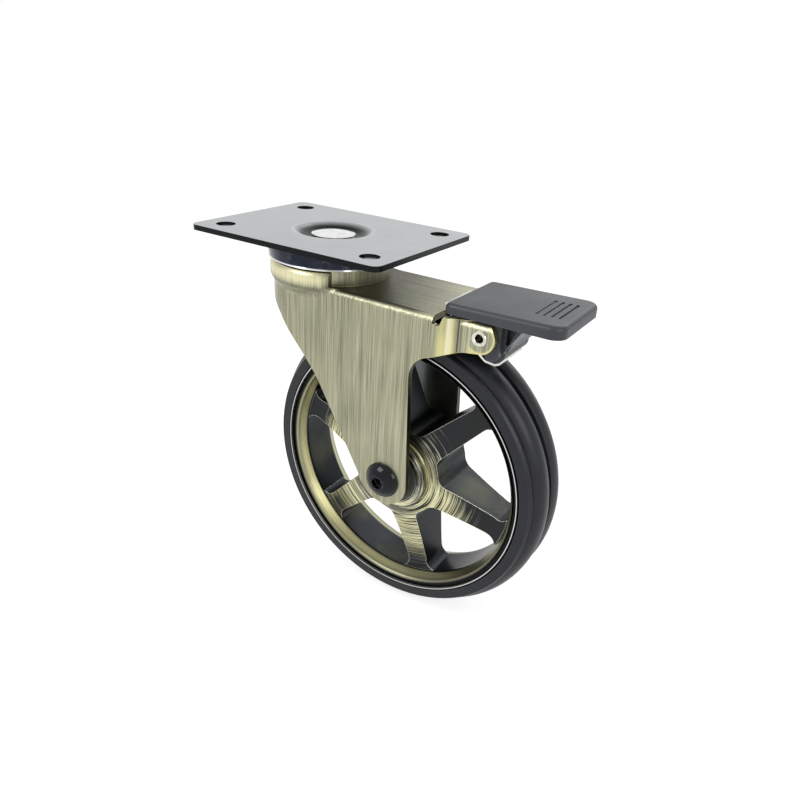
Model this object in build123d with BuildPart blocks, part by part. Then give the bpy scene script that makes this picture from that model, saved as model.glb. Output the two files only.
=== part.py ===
from build123d import *
import math
import os

# A braked swivel castor with a plate fixing and a spoked wheel. Millimetres.
# The origin is the middle of the plate's top face, on the swivel axis. +Z is up,
# +X points along the trail to the brake pedal, and Y runs along the axle.

os.makedirs("parts", exist_ok=True)

# Running fits and gaps
running_gap = 0.05
free_gap = 0.3
bolt_gap = 0.1

# Top plate
plate_length = 105.0
plate_width = 80.0
plate_thickness = 2.5
plate_corner = 4.0
bolt_spacing_x = 82.0
bolt_spacing_y = 57.0
bolt_hole_radius = 4.5
dish_floor_radius = 12.5
dish_slope_radius = 18.0
dish_slope_drop = 0.25
dish_back_floor_radius = 13.3
dish_back_radius = 20.6
dish_floor_bend = 3.0
dish_rim_bend = 6.0
dish_depth = 3.2

# Kingpin
kingpin_radius = 6.0
kingpin_head_radius = 10.3
kingpin_head_edge = 1.3
kingpin_head_crown = 1.2
kingpin_tail_radius = 9.0
kingpin_tail_height = 3.0
kingpin_tail_edge = 1.2
kingpin_tail_crown = 2.0

# Race cover
cover_radius = 31.5
cover_rim_radius = 30.1
cover_thickness = 1.7
cover_shoulder = 3.0
cover_depth = 9.3
cover_lip = 0.7
cover_lip_flare = 0.3

# Lower race
race_thickness = 2.4
race_side_gap = 2.2
race_corner = 1.0
race_rim_height = 1.6
race_rim_width = 1.8

# Ball tracks of the swivel head
upper_ball_diameter = 8.0
upper_track_radius = 23.2
lower_ball_diameter = 6.0
lower_track_radius = 15.0
track_depth = 0.8
track_side_gap = 0.2

# Fork
fork_half_width = 25.0
fork_sheet = 2.8
fork_bend = 3.0
boss_radius = 27.5
boss_corner = 1.6
boss_height = 8.0
front_radius = 29.7
front_step = 1.3
front_corner = 2.5
front_nose_x = -4.0
front_flare_top = 1.6
front_flare_radius = 20.8
front_blend = 4.0
flare_turn = 6.0
front_low_drop = 4.0
front_turn_x = -13.5
front_turn_drop = 18.2
front_turn_bend = 14.0
fork_hole_radius = 10.0
crown_end_x = 70.5
front_seam_x = 16.5
leg_break_x = 9.5
leg_break_z = -62.5
leg_break_bend = 70.0
leg_back_x = 60.6
leg_back_z = -41.5
leg_back_bend = 12.0
leg_end_radius = 13.0
ear_half_width = 21.0
ear_bend_start_x = 72.0
ear_bend_end_x = 81.0
ear_end_radius = 6.8
ear_root_x = 83.5
ear_root_drop = 1.0
ear_top_z = -18.6
relief_depth = 3.9
relief_width = 3.1
relief_slope = 1.4
relief_bend = 1.2

# Wheel and axle
axle_x = 50.5
axle_z = -106.0
wheel_radius = 75.0
wheel_half_width = 16.0
spoke_count = 6
spoke_phase = 44.5
spoke_hub_half = 6.8
spoke_rim_half = 5.0
window_inner_radius = 24.0
window_inner_corner = 5.5
window_outer_corner = 5.0
hub_radius = 18.0
hub_half_width = 18.6
hub_ring_radius = 16.2
hub_ring_depth = 0.8
hub_slope = 0.6
disc_root_radius = 16.0
disc_start_radius = 21.0
disc_middle_below_end = 16.0
disc_end_below_barrel = 7.0
disc_hub_half = 14.2
disc_middle_half = 10.7
disc_rim_half = 8.0
disc_rim_rise = 0.6
barrel_below_tread = 16.0
barrel_overlap = 1.0
lip_below_tread = 13.2
lip_slope_end = 2.0
lip_height = 1.0
lip_crown = 0.6
lip_slope_bend = 4.0
lip_edge_bend = 1.0
rim_groove_start_below_tread = 12.3
rim_groove_end_below_tread = 10.7
rim_groove_depth = 1.8
rim_groove_slope = 0.3
flange_below_tread = 9.5
flange_width = 3.4
tyre_seat_below_tread = 12.0

# Tyre
tyre_shoulder_below_tread = 4.6
tyre_shoulder_drop = 0.6
tyre_foot_below_tread = 9.1
tyre_foot_drop = 0.4
tyre_lip_below_tread = 3.8
tyre_lip_start_y = 13.2
tyre_lip_end_y = 14.4
tyre_notch_below_tread = 4.4
tyre_notch_y = 12.2
rib_root_below_tread = 3.4
rib_root_y = 11.8
rib_crest_y = 6.8
rib_edge_below_tread = 1.1
rib_edge_y = 1.5
groove_below_tread = 3.4
groove_half_width = 1.0

# Wheel bearing
axle_radius = 5.0
sleeve_radius = 7.5
roller_diameter = 5.0
roller_length = 28.0
roller_count = 8
shell_wall = 2.0
shell_half_length = 17.0
cage_end = 2.0
cap_flange_radius = 10.8
cap_slope = 0.6
cap_seat = 1.6

# Axle bolt and nut
bolt_head_radius = 8.8
bolt_head_height = 4.6
bolt_head_edge = 0.8
bolt_shoulder_radius = 6.9
bolt_shoulder_drop = 1.5
bolt_face_radius = 3.9
bolt_point = 0.8
socket_across_flats = 6.0
socket_depth = 3.0
nut_across_flats = 16.0
nut_corner_radius = 9.3
nut_height = 8.0
nut_edge = 0.8
washer_radius = 10.0
washer_thickness = 1.6
bolt_tail = 2.0

# Brake pedal
pivot_x = 90.6
pivot_z = -25.4
pad_start_x = 73.4
pad_end_x = 124.6
pad_half_width = 21.7
pad_thickness = 4.8
pad_lift = 1.2
pad_underside_z = -18.2
pad_edge = 2.0
pad_corner_inner = 3.0
pad_corner_outer = 6.0
grip_count = 4
grip_pitch = 3.2
grip_length = 22.0
grip_width = 1.3
grip_depth = 0.5
grip_first_x = 109.0
nose_radius = 3.0
nose_x = 95.0
nose_z = -32.2
cam_radius = 4.55
cam_half_width = 12.0
cam_x = 94.2
cam_z = -33.2
body_front_x = 87.0
body_rear_x = 107.5
cheek_rear_x = 98.4
cheek_height = 2.8
pocket_front_x = 99.6
pocket_rear_x = 104.9
pocket_low_z = -31.0
pocket_bend = 0.8
pocket_depth = 6.0

# Pedal rivet
rivet_radius = 2.6
rivet_bore_radius = 1.8
rivet_flange_radius = 3.4
rivet_flange = 0.8
rivet_edge = 0.35

# Brake leaf
leaf_thickness = 0.9
leaf_half_width = 11.5
leaf_hook = 1.8
leaf_hook_bend = 1.0
leaf_bend = 2.5
leaf_drop = 1.5
leaf_heel_x = 89.6
leaf_heel_z = -38.9
leaf_low_x = 94.6
leaf_low_z = -39.4
leaf_tip_x = 96.6
leaf_tip_z = -38.5

# Levels and places worked out from the sizes above
dish_underside = -plate_thickness - dish_depth
cover_top_z = -plate_thickness
cover_underside_z = cover_top_z - cover_thickness
upper_ball_z = cover_underside_z - running_gap - upper_ball_diameter / 2
boss_top_z = upper_ball_z - upper_ball_diameter / 2 - running_gap + track_depth
crown_top_z = boss_top_z - boss_height
crown_underside_z = crown_top_z - fork_sheet
boss_inner_radius = boss_radius - fork_sheet
boss_underside_z = boss_top_z - fork_sheet
lower_ball_z = boss_underside_z - running_gap - lower_ball_diameter / 2
race_top_z = lower_ball_z - lower_ball_diameter / 2 - running_gap + track_depth
race_underside_z = race_top_z - race_thickness
leg_inner = fork_half_width - fork_sheet
ear_inner = ear_half_width - fork_sheet
pedal_body_half = ear_inner - free_gap
roller_circle = sleeve_radius + roller_diameter / 2 + running_gap
shell_inner_radius = roller_circle + roller_diameter / 2 + running_gap
shell_radius = shell_inner_radius + shell_wall
barrel_radius = wheel_radius - barrel_below_tread
lip_radius = wheel_radius - lip_below_tread
rim_groove_start = wheel_radius - rim_groove_start_below_tread
rim_groove_radius = wheel_radius - rim_groove_end_below_tread
flange_radius = wheel_radius - flange_below_tread
tyre_seat_radius = wheel_radius - tyre_seat_below_tread
tyre_shoulder_radius = wheel_radius - tyre_shoulder_below_tread
tyre_foot_radius = wheel_radius - tyre_foot_below_tread
tyre_lip_radius = wheel_radius - tyre_lip_below_tread
tyre_notch_radius = wheel_radius - tyre_notch_below_tread
rib_root_radius = wheel_radius - rib_root_below_tread
rib_edge_radius = wheel_radius - rib_edge_below_tread
groove_radius = wheel_radius - groove_below_tread
disc_end_radius = barrel_radius - disc_end_below_barrel
disc_middle_radius = disc_end_radius - disc_middle_below_end
axle_axis = Axis((axle_x, 0, axle_z), (0, 1, 0))
axle_plane = Plane(origin=(axle_x, 0, axle_z), x_dir=(1, 0, 0), z_dir=(0, 0, 1))
wheel_plane = Plane(origin=(axle_x, 0, axle_z), x_dir=(1, 0, 0), z_dir=(0, -1, 0))
pivot_plane = Plane(origin=(pivot_x, 0, pivot_z), x_dir=(1, 0, 0), z_dir=(0, -1, 0))


def touch_point(point, centre, radius, side):
    """Where a line from the point touches the circle, on its left or right side."""
    dx = centre[0] - point[0]
    dz = centre[1] - point[1]
    span = math.hypot(dx, dz)
    heading = math.atan2(dz, dx)
    spread = math.acos(radius / span)
    angle = heading + math.pi + side * spread
    return (
        centre[0] + radius * math.cos(angle),
        centre[1] + radius * math.sin(angle),
    )


def track_profile(track_radius, ball_diameter, top_z, depth):
    """Section of a ball track: a flat floor and two flanks at forty-five degrees."""
    floor_half = ball_diameter / 2 * math.tan(math.radians(22.5)) + track_side_gap
    return [
        (track_radius - floor_half - depth, top_z),
        (track_radius - floor_half, top_z - depth),
        (track_radius + floor_half, top_z - depth),
        (track_radius + floor_half + depth, top_z),
    ]


def ball_set(track_radius, ball_diameter, ball_z):
    """A full ring of balls, each drawn with eighteen flats that touch its sphere."""
    count = int(2 * math.pi * track_radius / (ball_diameter * 1.06))
    with BuildPart() as ball:
        with BuildSketch(Plane.XY):
            RegularPolygon(ball_diameter / 2, 8, major_radius=False, rotation=22.5)
        extrude(amount=ball_diameter / 2, both=True)
        for side_plane in (Plane.XZ, Plane.YZ):
            with BuildSketch(side_plane):
                RegularPolygon(ball_diameter / 2, 8, major_radius=False, rotation=22.5)
            extrude(amount=ball_diameter / 2, both=True, mode=Mode.INTERSECT)
    with BuildPart() as balls:
        with Locations((0, 0, ball_z)):
            with PolarLocations(track_radius, count):
                add(ball.part)
    return balls


# Top plate, with the dish pressed down in its middle
with BuildPart() as top_plate:
    with BuildSketch(Plane.XY.offset(-plate_thickness)):
        RectangleRounded(plate_length, plate_width, plate_corner)
    extrude(amount=plate_thickness)
    with BuildSketch(Plane.XZ):
        with BuildLine():
            Polyline(
                (0, -plate_thickness),
                (0, dish_underside),
                (dish_back_floor_radius, dish_underside),
                (dish_back_radius, -plate_thickness),
                close=True,
            )
        make_face()
    revolve(axis=Axis.Z)
    with BuildSketch(Plane.XZ):
        with BuildLine():
            FilletPolyline(
                (0, -dish_depth),
                (dish_floor_radius, -dish_depth),
                (dish_slope_radius, -dish_slope_drop),
                (dish_back_radius, 0),
                radius=[dish_floor_bend, dish_rim_bend],
            )
            Polyline((dish_back_radius, 0), (0, 0), (0, -dish_depth))
        make_face()
    revolve(axis=Axis.Z, mode=Mode.SUBTRACT)
    Hole(kingpin_radius + bolt_gap)
    with GridLocations(bolt_spacing_x, bolt_spacing_y, 2, 2):
        Hole(bolt_hole_radius)
top_plate.part.label = "top_plate"
export_step(top_plate.part, "parts/top_plate.step")

# Kingpin, a rivet headed over in the dish and again under the lower race
head_edge_z = -dish_depth + kingpin_head_edge
head_top_z = head_edge_z + kingpin_head_crown
head_sphere = (kingpin_head_radius**2 + kingpin_head_crown**2) / (2 * kingpin_head_crown)
head_middle_drop = head_sphere - math.sqrt(head_sphere**2 - (kingpin_head_radius / 2) ** 2)
with BuildPart() as kingpin:
    with BuildSketch(Plane.XZ):
        with BuildLine():
            Polyline(
                (0, head_top_z),
                (0, race_underside_z - kingpin_tail_height),
                (kingpin_tail_radius - kingpin_tail_crown, race_underside_z - kingpin_tail_height),
                (kingpin_tail_radius, race_underside_z - kingpin_tail_edge),
                (kingpin_tail_radius, race_underside_z),
                (kingpin_radius, race_underside_z),
                (kingpin_radius, -dish_depth),
                (kingpin_head_radius, -dish_depth),
                (kingpin_head_radius, head_edge_z),
            )
            ThreePointArc(
                (kingpin_head_radius, head_edge_z),
                (kingpin_head_radius / 2, head_top_z - head_middle_drop),
                (0, head_top_z),
            )
        make_face()
    revolve(axis=Axis.Z)
kingpin.part.label = "kingpin"
export_step(kingpin.part, "parts/kingpin.step")

# Race cover, one pressing that follows the dish and turns down outside the balls
with BuildPart() as race_cover:
    with BuildSketch(Plane.XZ):
        with BuildLine():
            outer = FilletPolyline(
                (kingpin_radius + bolt_gap, dish_underside),
                (dish_back_floor_radius, dish_underside),
                (dish_back_radius, cover_top_z),
                (cover_radius, cover_top_z),
                (cover_rim_radius, cover_top_z - cover_depth + cover_lip),
                (cover_rim_radius + cover_lip_flare, cover_top_z - cover_depth),
                radius=[0, 0, cover_shoulder, 0],
            )
            inner = FilletPolyline(
                (cover_rim_radius - cover_thickness, cover_top_z - cover_depth),
                (cover_radius - cover_thickness, cover_underside_z),
                (dish_back_radius, cover_underside_z),
                (dish_back_floor_radius, dish_underside - cover_thickness),
                (kingpin_radius + bolt_gap, dish_underside - cover_thickness),
                radius=[cover_shoulder - cover_thickness, 0, 0],
            )
            Line(outer @ 1, inner @ 0)
            Line(inner @ 1, outer @ 0)
        make_face()
    revolve(axis=Axis.Z)
race_cover.part.label = "race_cover"
export_step(race_cover.part, "parts/race_cover.step")

# The two rings of loose balls in the swivel head
upper_balls = ball_set(upper_track_radius, upper_ball_diameter, upper_ball_z)
upper_balls.part.label = "upper_balls"
export_step(upper_balls.part, "parts/upper_balls.step")

lower_balls = ball_set(lower_track_radius, lower_ball_diameter, lower_ball_z)
lower_balls.part.label = "lower_balls"
export_step(lower_balls.part, "parts/lower_balls.step")

# Lower race, a cup with the lower ball track in it, drawn up by the kingpin
race_rim_radius = boss_inner_radius - race_side_gap
lower_track = track_profile(lower_track_radius, lower_ball_diameter, race_top_z, track_depth)
with BuildPart() as lower_race:
    with BuildSketch(Plane.XZ):
        with BuildLine():
            Polyline(
                (kingpin_radius + bolt_gap, race_underside_z),
                (race_rim_radius - race_corner, race_underside_z),
                (race_rim_radius, race_underside_z + race_corner),
                (race_rim_radius, race_top_z + race_rim_height),
                (race_rim_radius - race_rim_width, race_top_z + race_rim_height),
                (race_rim_radius - race_rim_width, race_top_z),
                *reversed(lower_track),
                (kingpin_radius + bolt_gap, race_top_z),
                close=True,
            )
        make_face()
    revolve(axis=Axis.Z)
lower_race.part.label = "lower_race"
export_step(lower_race.part, "parts/lower_race.step")

# Side outline of the fork: front, leg down to the axle, back up to the ear, and the crown
front_low = (-front_radius - fork_bend, crown_top_z - front_low_drop)
front_turn = (front_turn_x, crown_top_z - front_turn_drop)
leg_break = (leg_break_x, leg_break_z)
leg_touch = touch_point(leg_break, (axle_x, axle_z), leg_end_radius, 1)
leg_back_top = (leg_back_x, leg_back_z)
ear_root = (ear_root_x, pivot_z - ear_end_radius - ear_root_drop)
back_touch = touch_point(leg_back_top, (axle_x, axle_z), leg_end_radius, -1)
relief_floor_z = crown_top_z - relief_depth
front_top_z = boss_top_z - front_step


# The fork's side outline, up the front, down the leg, back along the ear and the crown
with BuildSketch() as fork_side:
    with BuildLine():
        FilletPolyline(
            front_low,
            front_turn,
            leg_break,
            leg_touch,
            radius=[front_turn_bend, leg_break_bend],
        )
        ThreePointArc(leg_touch, (axle_x, axle_z - leg_end_radius), back_touch)
        FilletPolyline(
            back_touch,
            leg_back_top,
            ear_root,
            (pivot_x, pivot_z - ear_end_radius),
            radius=[leg_back_bend, leg_back_bend],
        )
        ThreePointArc(
            (pivot_x, pivot_z - ear_end_radius),
            (pivot_x + ear_end_radius, pivot_z),
            (pivot_x, pivot_z + ear_end_radius),
        )
        FilletPolyline(
            (pivot_x, pivot_z + ear_end_radius),
            (crown_end_x + relief_width + relief_slope, ear_top_z),
            (crown_end_x + relief_width, relief_floor_z),
            (crown_end_x, relief_floor_z),
            (crown_end_x, crown_top_z),
            (front_seam_x, crown_top_z),
            (front_seam_x, front_top_z),
            (front_low[0], front_top_z),
            front_low,
            radius=[relief_bend, relief_bend, relief_bend, 0, 0, 0, 0],
        )
    make_face()


def fork_plan(half_width, ear_half):
    """The fork's plan: a round nose, straight sides and the joggle in to the ears."""
    rear_x = pivot_x + 2 * ear_end_radius
    with BuildSketch() as plan:
        with BuildLine():
            Polyline(
                (front_nose_x, half_width),
                (ear_bend_start_x, half_width),
                (ear_bend_end_x, ear_half),
                (rear_x, ear_half),
                (rear_x, -ear_half),
                (ear_bend_end_x, -ear_half),
                (ear_bend_start_x, -half_width),
                (front_nose_x, -half_width),
                close=True,
            )
        make_face()
        with Locations((front_nose_x, 0)):
            Circle(half_width)
    return plan.sketch


def front_flare(radius, top_z, turn_z, corner, turn):
    """Half section of the round front, which narrows down to the flat of the legs."""
    drop = radius - front_flare_radius
    with BuildSketch() as section:
        with BuildLine():
            FilletPolyline(
                (0, top_z),
                (radius, top_z),
                (radius, turn_z),
                (front_flare_radius, turn_z - drop),
                (0, turn_z - drop),
                radius=[corner, turn, 0],
            )
            Line((0, turn_z - drop), (0, top_z))
        make_face()
    return section.sketch


outer_plan = fork_plan(fork_half_width, ear_half_width)
inner_plan = fork_plan(leg_inner, ear_inner)
flare_turn_z = crown_top_z - front_flare_top
outer_flare = front_flare(front_radius, front_top_z, flare_turn_z, front_corner, flare_turn)
leg_foot_z = axle_z - 2 * leg_end_radius

# The hollow inside the round front, one sheet in from its outside
hollow_turn_z = flare_turn_z + fork_sheet * math.tan(math.radians(22.5))
with BuildPart() as front_hollow:
    with BuildSketch(Plane.XZ):
        add(front_flare(front_radius - fork_sheet, front_top_z - fork_sheet, hollow_turn_z, 0, 0))
    revolve(axis=Axis.Z)
    with BuildSketch(Plane.XY.offset(leg_foot_z)):
        with Locations((front_seam_x - fork_sheet - front_radius, 0)):
            Rectangle(2 * front_radius, 2 * front_radius)
    extrude(amount=-leg_foot_z, mode=Mode.INTERSECT)

# Fork, one pressing
upper_track = track_profile(upper_track_radius, upper_ball_diameter, boss_top_z, track_depth)
with BuildPart() as fork:
    with BuildSketch(Plane.XY.offset(leg_foot_z)):
        add(outer_plan)
    extrude(amount=crown_top_z - leg_foot_z)
    crown_edges = fork.edges().filter_by(Axis.X).filter_by_position(
        Axis.Z, crown_top_z - running_gap, crown_top_z + running_gap
    )
    fillet(crown_edges, fork_bend)
    with BuildSketch(Plane.XZ):
        add(outer_flare)
    revolve(axis=Axis.Z)
    # the round front runs out into the flat of the legs
    cone = fork.faces().filter_by(GeomType.CONE)
    blend_edges = cone.edges().filter_by(lambda edge: edge.geom_type != GeomType.CIRCLE)
    fillet(blend_edges, front_blend)
    with BuildSketch(Plane.XZ):
        add(fork_side.sketch)
    extrude(amount=front_radius + fork_sheet, both=True, mode=Mode.INTERSECT)
    # the channel between the legs
    with BuildSketch(Plane.XY.offset(leg_foot_z)):
        add(inner_plan)
    extrude(amount=crown_underside_z - leg_foot_z, mode=Mode.SUBTRACT)
    # the open end between the ears
    with BuildSketch(Plane.XY.offset(crown_underside_z - fork_sheet)):
        add(inner_plan)
        with Locations((crown_end_x - front_radius * 2, 0)):
            Rectangle(4 * front_radius, 4 * front_radius, mode=Mode.SUBTRACT)
    extrude(amount=fork_sheet - crown_underside_z, mode=Mode.SUBTRACT)
    # the boss, raised round the swivel axis, with the upper ball track in its top
    with BuildSketch(Plane.XZ):
        with BuildLine():
            FilletPolyline(
                (0, crown_underside_z),
                (boss_radius, crown_underside_z),
                (boss_radius, boss_top_z),
                (0, boss_top_z),
                radius=[0, boss_corner],
            )
            Line((0, boss_top_z), (0, crown_underside_z))
        make_face()
    revolve(axis=Axis.Z)
    add(front_hollow.part, mode=Mode.SUBTRACT)
    with BuildSketch(Plane.XY.offset(crown_underside_z - fork_sheet)):
        Circle(boss_inner_radius)
    extrude(amount=boss_underside_z - crown_underside_z + fork_sheet, mode=Mode.SUBTRACT)
    with BuildSketch(Plane.XZ):
        with BuildLine():
            Polyline(*upper_track, close=True)
        make_face()
    revolve(axis=Axis.Z, mode=Mode.SUBTRACT)
    with BuildSketch(Plane.XY.offset(boss_underside_z - fork_sheet)):
        Circle(fork_hole_radius)
    extrude(amount=3 * fork_sheet, mode=Mode.SUBTRACT)
    # the axle's holes and the rivet's
    with BuildSketch(wheel_plane):
        Circle(axle_radius + bolt_gap)
    extrude(amount=2 * fork_half_width, both=True, mode=Mode.SUBTRACT)
    with BuildSketch(pivot_plane):
        Circle(rivet_radius + bolt_gap / 2)
    extrude(amount=2 * ear_half_width, both=True, mode=Mode.SUBTRACT)
fork.part.label = "fork"
export_step(fork.part, "parts/fork.step")

# One window between two spokes, wider at the rim than at the hub
window_half_angle = 180.0 / spoke_count
window_inner_turn = window_half_angle - math.degrees(math.asin(spoke_hub_half / window_inner_radius))
window_outer_turn = window_half_angle - math.degrees(math.asin(spoke_rim_half / barrel_radius))
with BuildSketch() as window:
    with BuildLine():
        inner_arc = CenterArc((0, 0), window_inner_radius, -window_inner_turn, 2 * window_inner_turn)
        outer_arc = CenterArc(
            (0, 0), barrel_radius + barrel_overlap / 2, -window_outer_turn, 2 * window_outer_turn
        )
        Line(inner_arc @ 0, outer_arc @ 0)
        Line(inner_arc @ 1, outer_arc @ 1)
    make_face()
    fillet(window.vertices().group_by(Axis.X)[-1], window_outer_corner)
    fillet(window.vertices().group_by(Axis.X)[0], window_inner_corner)

# Wheel casting: rim and hub turned as one section, the spokes cut from a dished disc
with BuildPart() as wheel_casting:
    with BuildSketch(axle_plane):
        with BuildLine():
            Polyline(
                (disc_root_radius, 0),
                (disc_root_radius, disc_hub_half),
                (disc_start_radius, disc_hub_half),
            )
            ThreePointArc(
                (disc_start_radius, disc_hub_half),
                (disc_middle_radius, disc_middle_half),
                (disc_end_radius, disc_rim_half),
            )
            Polyline(
                (disc_end_radius, disc_rim_half),
                (barrel_radius + barrel_overlap, disc_rim_half + disc_rim_rise),
                (barrel_radius + barrel_overlap, 0),
                (disc_root_radius, 0),
            )
        make_face()
        mirror(about=Plane.XZ)
    revolve(axis=axle_axis)
    with BuildSketch(wheel_plane):
        with PolarLocations(0, spoke_count, start_angle=spoke_phase + window_half_angle):
            add(window.sketch)
    extrude(amount=wheel_half_width, both=True, mode=Mode.SUBTRACT)
    with BuildSketch(axle_plane):
        with BuildLine():
            Polyline(
                (shell_radius, 0),
                (shell_radius, hub_half_width),
                (hub_ring_radius, hub_half_width),
                (hub_ring_radius, hub_half_width - hub_ring_depth),
                (hub_radius, hub_half_width - hub_ring_depth - hub_slope),
                (hub_radius + hub_slope, disc_hub_half),
                (hub_radius + hub_slope, 0),
                close=True,
            )
        make_face()
        with BuildLine():
            rim = FilletPolyline(
                (barrel_radius, 0),
                (barrel_radius, disc_rim_half + barrel_overlap),
                (lip_radius - lip_crown, wheel_half_width - lip_slope_end),
                (lip_radius + lip_crown, wheel_half_width - lip_height),
                (rim_groove_start, wheel_half_width - rim_groove_depth),
                (rim_groove_radius, wheel_half_width - rim_groove_depth),
                (rim_groove_radius + rim_groove_slope, wheel_half_width),
                (flange_radius, wheel_half_width),
                (flange_radius, wheel_half_width - flange_width),
                (tyre_seat_radius, wheel_half_width - flange_width),
                (tyre_seat_radius, 0),
                radius=[lip_slope_bend, lip_edge_bend, 0, 0, 0, 0, 0, 0, 0],
            )
            Line(rim @ 1, rim @ 0)
        make_face()
        mirror(about=Plane.XZ)
    revolve(axis=axle_axis)
    with BuildSketch(wheel_plane):
        Circle(shell_radius)
    extrude(amount=hub_half_width, both=True, mode=Mode.SUBTRACT)
wheel_casting.part.label = "wheel_casting"
export_step(wheel_casting.part, "parts/wheel_casting.step")

# Tyre, with a lip at each side and two round ribs parted by a groove
with BuildPart() as tyre:
    with BuildSketch(axle_plane):
        with BuildLine():
            rib = ThreePointArc(
                (rib_edge_radius, rib_edge_y),
                (wheel_radius, rib_crest_y),
                (rib_root_radius, rib_root_y),
            )
            Polyline(
                rib @ 1,
                (tyre_notch_radius, tyre_notch_y),
                (tyre_lip_radius, tyre_lip_start_y),
                (tyre_lip_radius, tyre_lip_end_y),
                (tyre_shoulder_radius, wheel_half_width - tyre_shoulder_drop),
                (tyre_foot_radius, wheel_half_width - tyre_foot_drop),
                (flange_radius, wheel_half_width - flange_width),
                (tyre_seat_radius, wheel_half_width - flange_width),
                (tyre_seat_radius, 0),
                (groove_radius, 0),
                (groove_radius, groove_half_width),
                rib @ 0,
            )
        make_face()
        mirror(about=Plane.XZ)
    revolve(axis=axle_axis)
tyre.part.label = "tyre"
export_step(tyre.part, "parts/tyre.step")

# Bearing shell, pressed into the hub
with BuildPart() as bearing_shell:
    with BuildSketch(wheel_plane):
        Circle(shell_radius)
        Circle(shell_inner_radius, mode=Mode.SUBTRACT)
    extrude(amount=shell_half_length, both=True)
bearing_shell.part.label = "bearing_shell"
export_step(bearing_shell.part, "parts/bearing_shell.step")

# Bearing rollers
with BuildPart() as bearing_rollers:
    with BuildSketch(wheel_plane):
        with PolarLocations(roller_circle, roller_count):
            Circle(roller_diameter / 2)
    extrude(amount=roller_length / 2, both=True)
bearing_rollers.part.label = "bearing_rollers"
export_step(bearing_rollers.part, "parts/bearing_rollers.step")

# Roller cage, a moulded tube with a pocket for each roller
with BuildPart() as roller_cage:
    with BuildSketch(wheel_plane):
        Circle(shell_inner_radius - free_gap)
        Circle(sleeve_radius + free_gap, mode=Mode.SUBTRACT)
    extrude(amount=roller_length / 2 + free_gap + cage_end, both=True)
    with BuildSketch(wheel_plane):
        with PolarLocations(roller_circle, roller_count):
            Circle(roller_diameter / 2 + running_gap)
    extrude(amount=roller_length / 2 + free_gap, both=True, mode=Mode.SUBTRACT)
roller_cage.part.label = "roller_cage"
export_step(roller_cage.part, "parts/roller_cage.step")

# Bearing caps, which close the hub's two ends
cap_outer_face = leg_inner - free_gap
for cap_name, cap_side in (("bearing_cap_near", -1), ("bearing_cap_far", 1)):
    with BuildPart() as bearing_cap:
        with BuildSketch(axle_plane):
            with BuildLine():
                Polyline(
                    (sleeve_radius + free_gap, cap_side * shell_half_length),
                    (shell_radius, cap_side * shell_half_length),
                    (shell_radius, cap_side * (shell_half_length + cap_seat)),
                    (cap_flange_radius + cap_slope, cap_side * (shell_half_length + cap_seat)),
                    (cap_flange_radius, cap_side * cap_outer_face),
                    (sleeve_radius + free_gap, cap_side * cap_outer_face),
                    close=True,
                )
            make_face()
        revolve(axis=axle_axis)
    bearing_cap.part.label = cap_name
    export_step(bearing_cap.part, "parts/" + cap_name + ".step")

# Axle sleeve, clamped between the legs
with BuildPart() as axle_sleeve:
    with BuildSketch(wheel_plane):
        Circle(sleeve_radius)
        Circle(axle_radius + bolt_gap, mode=Mode.SUBTRACT)
    extrude(amount=leg_inner, both=True)
axle_sleeve.part.label = "axle_sleeve"
export_step(axle_sleeve.part, "parts/axle_sleeve.step")

# Axle bolt, with a domed socket head on the near leg
nut_face = fork_half_width + washer_thickness
bolt_end = nut_face + nut_height + bolt_tail
head_face = -fork_half_width - bolt_head_height
with BuildPart() as axle_bolt:
    with BuildSketch(axle_plane):
        with BuildLine():
            Polyline(
                (0, head_face),
                (0, bolt_end),
                (axle_radius - bolt_point, bolt_end),
                (axle_radius, bolt_end - bolt_point),
                (axle_radius, -fork_half_width),
                (bolt_head_radius, -fork_half_width),
                (bolt_head_radius, -fork_half_width - bolt_head_edge),
            )
            ThreePointArc(
                (bolt_head_radius, -fork_half_width - bolt_head_edge),
                (bolt_shoulder_radius, head_face + bolt_shoulder_drop),
                (bolt_face_radius, head_face),
            )
            Line((bolt_face_radius, head_face), (0, head_face))
        make_face()
    revolve(axis=axle_axis)
    with BuildSketch(wheel_plane.offset(fork_half_width + bolt_head_height)):
        RegularPolygon(socket_across_flats / 2, 6, major_radius=False)
    extrude(amount=-socket_depth, mode=Mode.SUBTRACT)
axle_bolt.part.label = "axle_bolt"
export_step(axle_bolt.part, "parts/axle_bolt.step")

# Washer and nut on the far leg
with BuildPart() as nut_washer:
    with BuildSketch(wheel_plane.offset(-fork_half_width)):
        Circle(washer_radius)
        Circle(axle_radius + bolt_gap, mode=Mode.SUBTRACT)
    extrude(amount=-washer_thickness)
nut_washer.part.label = "nut_washer"
export_step(nut_washer.part, "parts/nut_washer.step")

with BuildPart() as axle_nut:
    with BuildSketch(wheel_plane.offset(-nut_face)):
        RegularPolygon(nut_across_flats / 2, 6, major_radius=False)
        Circle(axle_radius, mode=Mode.SUBTRACT)
    extrude(amount=-nut_height)
    with BuildSketch(axle_plane):
        with BuildLine():
            Polyline(
                (axle_radius, nut_face),
                (nut_across_flats / 2, nut_face),
                (nut_corner_radius, nut_face + nut_edge),
                (nut_corner_radius, nut_face + nut_height - nut_edge),
                (nut_across_flats / 2, nut_face + nut_height),
                (axle_radius, nut_face + nut_height),
                close=True,
            )
        make_face()
    revolve(axis=axle_axis, mode=Mode.INTERSECT)
axle_nut.part.label = "axle_nut"
export_step(axle_nut.part, "parts/axle_nut.step")

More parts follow.
